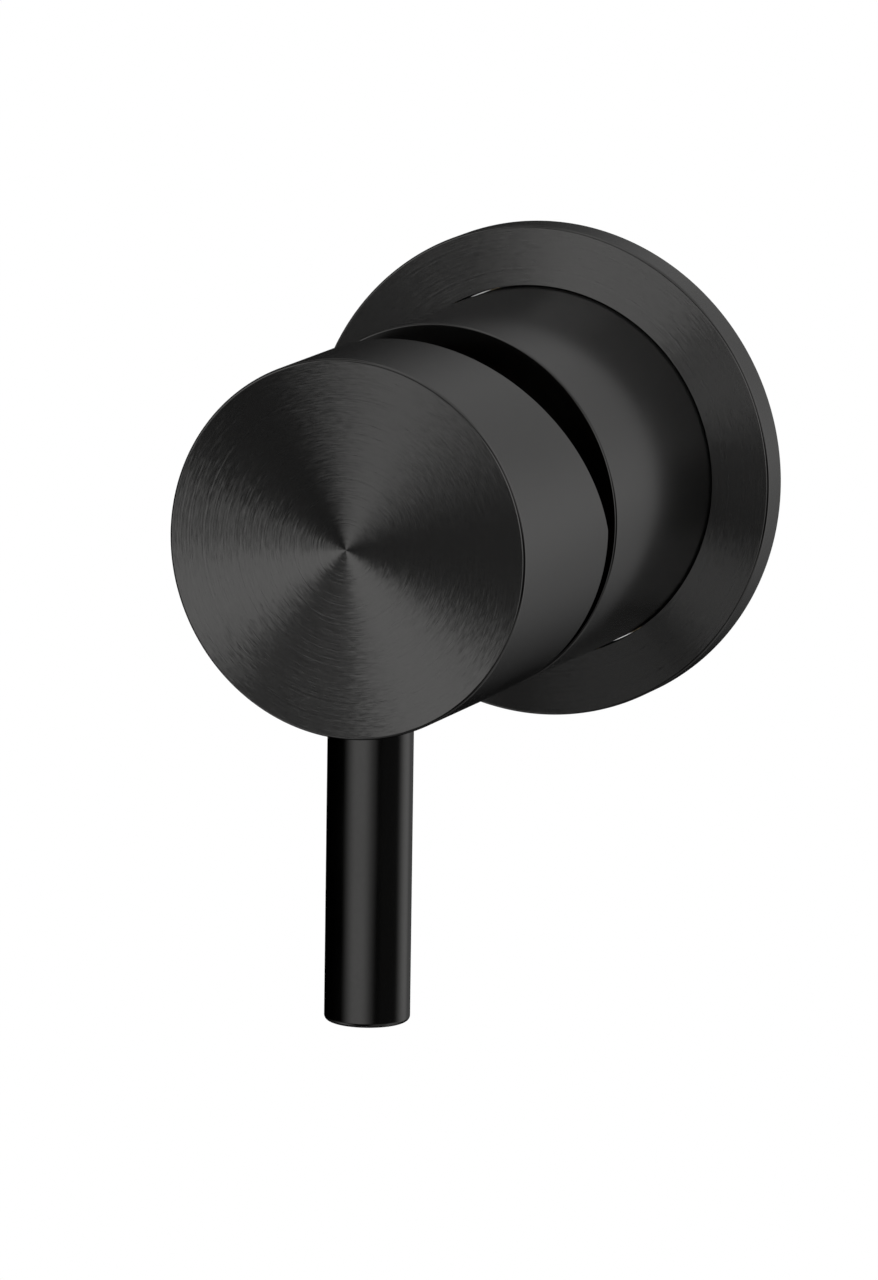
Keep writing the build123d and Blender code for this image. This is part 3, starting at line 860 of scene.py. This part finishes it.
def makeTapTree():  # a thread tap that enters along -Y from the origin, closed at both ends
    tree, given, result = newTree(
        "threadTap",
        "GeometryNodeTree",
        [
            ("Core Radius", "NodeSocketFloat", 2.0 * mm),
            ("Major Radius", "NodeSocketFloat", 2.5 * mm),
            ("Pitch", "NodeSocketFloat", 0.8 * mm),
            ("Depth", "NodeSocketFloat", 10.0 * mm),
            ("Countersink", "NodeSocketFloat", 0.3 * mm),
            ("Segments", "NodeSocketInt", drilling["fixingSegments"]),
            ("Rows per Turn", "NodeSocketInt", drilling["rowsPerTurn"]),
        ],
        shapeOutputs,
    )
    reach = calc(tree, "ADD", given["Depth"], drilling["overshoot"])
    turns = calc(tree, "DIVIDE", reach, given["Pitch"])
    rows = calc(tree, "CEIL", calc(tree, "MULTIPLY", turns, given["Rows per Turn"]))
    grid = fedNode(tree, "GeometryNodeMeshGrid", {
        "Vertices X": calc(tree, "ADD", given["Segments"], 1.0),
        "Vertices Y": calc(tree, "ADD", rows, 1.0),
    })["Mesh"]
    place = splitParts(tree, meshPlace(tree))
    share = calc(tree, "ADD", place["X"], 0.5)
    row = calc(tree, "ROUND", calc(tree, "MULTIPLY", calc(tree, "ADD", place["Y"], 0.5), rows))
    threadRows = calc(tree, "SUBTRACT", rows, 2.0)  # the first and the last row close the ends
    threadRow = calc(tree, "MAXIMUM", calc(tree, "SUBTRACT", row, 1.0), 0.0)
    along = calc(tree, "DIVIDE", calc(tree, "MINIMUM", threadRow, threadRows), threadRows)
    depth = calc(tree, "SUBTRACT", calc(tree, "MULTIPLY", along, reach), drilling["overshoot"])
    phase = calc(tree, "FRACT", calc(tree, "ADD", calc(tree, "DIVIDE", depth, given["Pitch"]), share))
    wave = calc(tree, "ABSOLUTE", calc(tree, "SUBTRACT", calc(tree, "MULTIPLY", phase, 2.0), 1.0))
    thread = fedNode(tree, "ShaderNodeMapRange", {
        "Value": wave,
        "From Min": drilling["threadFlat"],
        "From Max": 1.0 - drilling["threadFlat"],
        "To Min": given["Core Radius"],
        "To Max": given["Major Radius"],
    })[0]
    mouth = calc(tree, "ADD", given["Major Radius"], given["Countersink"])
    cone = calc(tree, "SUBTRACT", mouth, calc(tree, "MAXIMUM", depth, 0.0))
    notFirst = calc(tree, "GREATER_THAN", row, 0.5)
    notLast = calc(tree, "LESS_THAN", row, calc(tree, "SUBTRACT", rows, 0.5))
    wide = calc(tree, "MULTIPLY", notFirst, notLast)
    radius = calc(tree, "MULTIPLY", calc(tree, "MAXIMUM", thread, cone), wide)
    angle = calc(tree, "MULTIPLY", share, 2 * pi)
    feed(tree, result["Geometry"], bendGrid(tree, grid, radius, angle, depth))
    return tree


def ringOfCopies(tree, mesh, count, circle, startAngle, out):  # copies round the Y axis, first at startAngle
    points = fedNode(tree, "GeometryNodeMeshCircle", {"Vertices": count, "Radius": circle})["Mesh"]
    turn = (radians(90), -startAngle, 0.0)
    places = moveTo(tree, points, joinParts(tree, y=opposite(tree, out)), turn)
    copies = fedNode(tree, "GeometryNodeInstanceOnPoints", {"Points": places, "Instance": mesh})["Instances"]
    return realShape(tree, copies)


def plainDrill(tree, radius, length):  # centred on the origin, along Y
    drill = fedNode(tree, "GeometryNodeMeshCylinder", {
        "Vertices": drilling["drillSegments"],
        "Radius": radius,
        "Depth": length,
    })["Mesh"]
    return moveTo(tree, drill, (0.0, 0.0, 0.0), acrossY)


bodyLabels = {  # inputs of the body's tree, and what sets them
    "Seat Out": "seatOut",
    "Countersink": "countersink",
    "Port Circle": "portCircle",
    "Port Core": "portCore",
    "Port Major": "portMajor",
    "Port Pitch": "portPitch",
    "Port Depth": "portDepth",
    "Fixing Circle": "fixingCircle",
    "Fixing Core": "fixingCore",
    "Fixing Major": "fixingMajor",
    "Fixing Pitch": "fixingPitch",
    "Fixing Depth": "fixingDepth",
    "Passage Circle": "passageCircle",
    "Passage Radius": "passageRadius",
    "Peg Circle": "pegCircle",
    "Peg Radius": "pegRadius",
    "Peg Depth": "pegDepth",
}


def makeBodyTree():
    tapTree = makeTapTree()
    tree, given, result = newTree(
        "valveBody",
        "GeometryNodeTree",
        turnInputs + finishInputs + [(label, "NodeSocketFloat", 0.0) for label in ("Rear Out", *bodyLabels)],
        shapeOutputs,
    )
    cutters = []
    for kind, startAngle, tapSegments in (
        ("Port", body["portAngle"], drilling["portSegments"]),
        ("Fixing", body["fixingAngle"], drilling["fixingSegments"]),
    ):
        tap = fedNode(tree, "GeometryNodeGroup", {
            "Core Radius": given[kind + " Core"],
            "Major Radius": given[kind + " Major"],
            "Pitch": given[kind + " Pitch"],
            "Depth": given[kind + " Depth"],
            "Countersink": given["Countersink"],
            "Segments": tapSegments,
        }, node_tree=tapTree)["Geometry"]
        circle = given[kind + " Circle"]
        cutters.append(ringOfCopies(tree, tap, body["portCount"], circle, startAngle, given["Rear Out"]))
    portEnd = calc(tree, "ADD", given["Rear Out"], given["Port Depth"])
    passageRear = calc(tree, "SUBTRACT", portEnd, drilling["overshoot"])
    passageFront = calc(tree, "ADD", given["Seat Out"], drilling["overshoot"])
    passageLength = calc(tree, "SUBTRACT", passageFront, passageRear)
    passageMiddle = calc(tree, "DIVIDE", calc(tree, "ADD", passageFront, passageRear), 2.0)
    passage = plainDrill(tree, given["Passage Radius"], passageLength)
    circle = given["Passage Circle"]
    cutters.append(ringOfCopies(tree, passage, body["portCount"], circle, body["portAngle"], passageMiddle))
    peg = plainDrill(tree, given["Peg Radius"], calc(tree, "MULTIPLY", given["Peg Depth"], 2.0))
    cutters.append(ringOfCopies(tree, peg, body["pegCount"], given["Peg Circle"], 0.0, given["Seat Out"]))
    setMaterials(tree, given, result, cutAway(tree, useTurnTree(tree, given), cutters))
    return tree


bodyValues = {label: body[key] for label, key in bodyLabels.items()}
valveBody = growPiece("valveBody", bodyProfile, makeBodyTree(), {
    "Segments": body["segments"],
    "Side Material": brassSide,
    "Face Material": brassFace,
    "Edge Material": brassSide,
    "Rear Out": bodyRear,
    **bodyValues,
})
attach(valveBody, "valve")
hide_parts("valve_body")
print("valve body ready")

# camera at the photo's angle

view = {
    "azimuth": radians(22.867),
    "elevation": radians(11.139),
    "roll": radians(0.814),
    "distance": 1.29655,
    "aim": Vector((0.0, -0.030, -0.012)),
    "right": -1.655 * mm,
    "up": -4.219 * mm,
    "lens": 306.41,
    "sensor": 36.0,
}


def direction(azimuth, elevation):  # azimuth from the room to the right
    return Vector((sin(azimuth) * cos(elevation), -cos(azimuth) * cos(elevation), sin(elevation)))


back = direction(view["azimuth"], view["elevation"])
level = (-back).cross(Vector((0.0, 0.0, 1.0))).normalized()
plumb = level.cross(-back)
right = level * cos(view["roll"]) + plumb * sin(view["roll"])
up = plumb * cos(view["roll"]) - level * sin(view["roll"])
eye = view["aim"] + back * view["distance"] + right * view["right"] + up * view["up"]
cameraData = bpy.data.cameras.new("camera")
cameraData.lens = view["lens"]
cameraData.sensor_width = view["sensor"]
camera = bpy.data.objects.new("camera", cameraData)
camera.matrix_world = Matrix((
    (right.x, up.x, back.x, eye.x),
    (right.y, up.y, back.y, eye.y),
    (right.z, up.z, back.z, eye.z),
    (0.0, 0.0, 0.0, 1.0),
))
bpy.context.scene.collection.objects.link(camera)
bpy.context.scene.camera = camera

# stage: a white floor and world, and a dark tent that shows them through soft windows

studio = {
    "floorHeight": -1.6,
    "floorHalf": 20.0,
    "floorTone": (0.9, 0.9, 0.9, 1.0),
    "white": (1.0, 1.0, 1.0, 1.0),
    "tentRadius": 1.4,
    "tentSegments": 96,
    "tentRings": 48,
    "windows": {  # azimuth from the room to the right, elevation, half sizes, soft edges in degrees; openness
        "front": (-4, -10, 28, 14, 20, 6, 0.7),
        "lowRight": (22, 7, 18, 16, 6, 7, 0.72),
        "highLeft": (-52, 20, 20, 16, 8, 8, 0.68),
        "lowLeft": (-52, -45, 26, 13, 20, 16, 0.66),
        "right": (72, 30, 32, 20, 16, 12, 0.22),
        "rightBand": (84, -11, 36, 10, 14, 8, 0.04),
        "underRight": (75, -45, 40, 16, 14, 10, 0.26),
        "behindRight": (134, 10, 20, 48, 18, 20, 0.75),
        "behind": (165, 14, 28, 26, 17, 10, 0.31),
        "behindLow": (155, -8, 24, 20, 18, 12, 0.23),
        "above": (45, 90, 105, 50, 30, 10, 0.52),
        "below": (0, -90, 180, 24, 10, 8, 0.17),
        "backLeft": (-125, 45, 26, 18, 10, 8, 0.6),
        "lowBackLeft": (-118, -44, 25, 14, 10, 10, 0.4),
        "rearHigh": (180, 60, 60, 16, 15, 8, 0.7),
        "rearLow": (180, -54, 55, 14, 15, 8, 0.7),
        "farRight": (104, 30, 22, 26, 10, 10, 0.7),
        "farRightLow": (104, -45, 22, 18, 10, 8, 0.5),
        "farLeft": (-120, 20, 18, 20, 8, 6, 0.6),
        "zenith": (0, 90, 180, 16, 10, 6, 0.8),
    },
    "lamps": {  # azimuth, elevation, watts; for plain light that metal does not mirror
        "key": (-35, 50, 6.0),
        "fill": (75, 25, 4.0),
        "rear": (190, 45, 5.0),
    },
    "lampDistance": 1.15,
    "lampSize": 0.9,
}
windowLabels = (  # in the order of the windows' numbers
    "Centre Azimuth", "Centre Elevation", "Half Width", "Half Height",
    "Side Softness", "End Softness", "Openness",
)


def makeSoftWindow():
    tree, given, result = newTree(
        "softWindow",
        "ShaderNodeTree",
        [(label, "NodeSocketFloat", 0.0) for label in ("Azimuth", "Elevation", *windowLabels)],
        [("Mask", "NodeSocketFloat")],
    )
    turned = calc(tree, "SUBTRACT", given["Azimuth"], given["Centre Azimuth"])
    sideways = calc(tree, "ABSOLUTE", calc(tree, "WRAP", turned, 180.0, -180.0))
    upward = calc(tree, "ABSOLUTE", calc(tree, "SUBTRACT", given["Elevation"], given["Centre Elevation"]))
    mask = given["Openness"]
    for away, half, soft in (
        (sideways, given["Half Width"], given["Side Softness"]),
        (upward, given["Half Height"], given["End Softness"]),
    ):
        edge = fedNode(tree, "ShaderNodeMapRange", {
            "Value": away,
            "From Min": calc(tree, "SUBTRACT", half, soft),
            "From Max": calc(tree, "ADD", half, soft),
            "To Min": 1.0,
            "To Max": 0.0,
        }, interpolation_type="SMOOTHSTEP")
        mask = calc(tree, "MULTIPLY", mask, edge[0])
    feed(tree, result["Mask"], mask)
    return tree


def stageMaterial(name):
    material = bpy.data.materials.new(name)
    material.use_nodes = True
    material.node_tree.nodes.clear()
    return material, material.node_tree


def makeTentCloth():
    softWindow = makeSoftWindow()
    material, tree = stageMaterial("tentCloth")
    ray = splitParts(tree, vectorCalc(tree, "NORMALIZE", objectPlace(tree)))
    azimuth = calc(tree, "DEGREES", calc(tree, "ARCTAN2", ray["X"], opposite(tree, ray["Y"])))
    elevation = calc(tree, "DEGREES", calc(tree, "ARCSINE", ray["Z"]))
    opening = 0.0
    for values in studio["windows"].values():
        sources = {"Azimuth": azimuth, "Elevation": elevation, **dict(zip(windowLabels, values))}
        window = fedNode(tree, "ShaderNodeGroup", sources, node_tree=softWindow)
        opening = calc(tree, "MAXIMUM", window["Mask"], opening)
    cloth = fedNode(tree, "ShaderNodeBsdfTransparent", {"Color": opening})[0]
    fedNode(tree, "ShaderNodeOutputMaterial", {"Surface": cloth})
    return material


def makeFloorWhite():  # white to the eye and in reflections, and lit like plain paper for all else
    material, tree = stageMaterial("floorWhite")
    path = addNode(tree, "ShaderNodeLightPath").outputs
    seen = calc(tree, "MAXIMUM", path["Is Camera Ray"], path["Is Glossy Ray"])
    seen = calc(tree, "MAXIMUM", seen, path["Is Transmission Ray"])
    paper = fedNode(tree, "ShaderNodeBsdfDiffuse", {"Color": studio["floorTone"]})[0]
    glow = fedNode(tree, "ShaderNodeEmission", {"Color": studio["white"], "Strength": 1.0})[0]
    mix = fedNode(tree, "ShaderNodeMixShader", {0: seen, 1: paper, 2: glow})[0]
    fedNode(tree, "ShaderNodeOutputMaterial", {"Surface": mix})
    return material


def stageObject(name, material, build):
    mesh = bpy.data.meshes.new(name)
    work = bmesh.new()
    build(work)
    work.to_mesh(mesh)
    work.free()
    mesh.materials.append(material)
    piece = bpy.data.objects.new(name, mesh)
    bpy.context.scene.collection.objects.link(piece)
    return piece


def buildFloor(work):
    lower = Matrix.Translation((0.0, 0.0, studio["floorHeight"]))
    bmesh.ops.create_grid(work, x_segments=1, y_segments=1, size=studio["floorHalf"], matrix=lower)


def buildTent(work):
    segments = {"u_segments": studio["tentSegments"], "v_segments": studio["tentRings"]}
    bmesh.ops.create_uvsphere(work, radius=studio["tentRadius"], **segments)


stageObject("floor", makeFloorWhite(), buildFloor)
tent = stageObject("tent", makeTentCloth(), buildTent)
tent.visible_camera = False

for name, (azimuth, elevation, watts) in studio["lamps"].items():
    lampData = bpy.data.lights.new(name, "AREA")
    lampData.energy = watts
    lampData.size = studio["lampSize"]
    lamp = bpy.data.objects.new(name, lampData)
    towards = direction(radians(azimuth), radians(elevation))
    lamp.location = towards * studio["lampDistance"]
    lamp.rotation_euler = towards.to_track_quat("Z", "Y").to_euler()
    lamp.visible_glossy = False
    bpy.context.scene.collection.objects.link(lamp)

world = bpy.data.worlds.new("whiteStudio")
bpy.context.scene.world = world
world.use_nodes = True
world.node_tree.nodes["Background"].inputs["Color"].default_value = studio["white"]
world.node_tree.nodes["Background"].inputs["Strength"].default_value = 1.0

bpy.context.scene.view_settings.view_transform = "Standard"
print("stage ready")
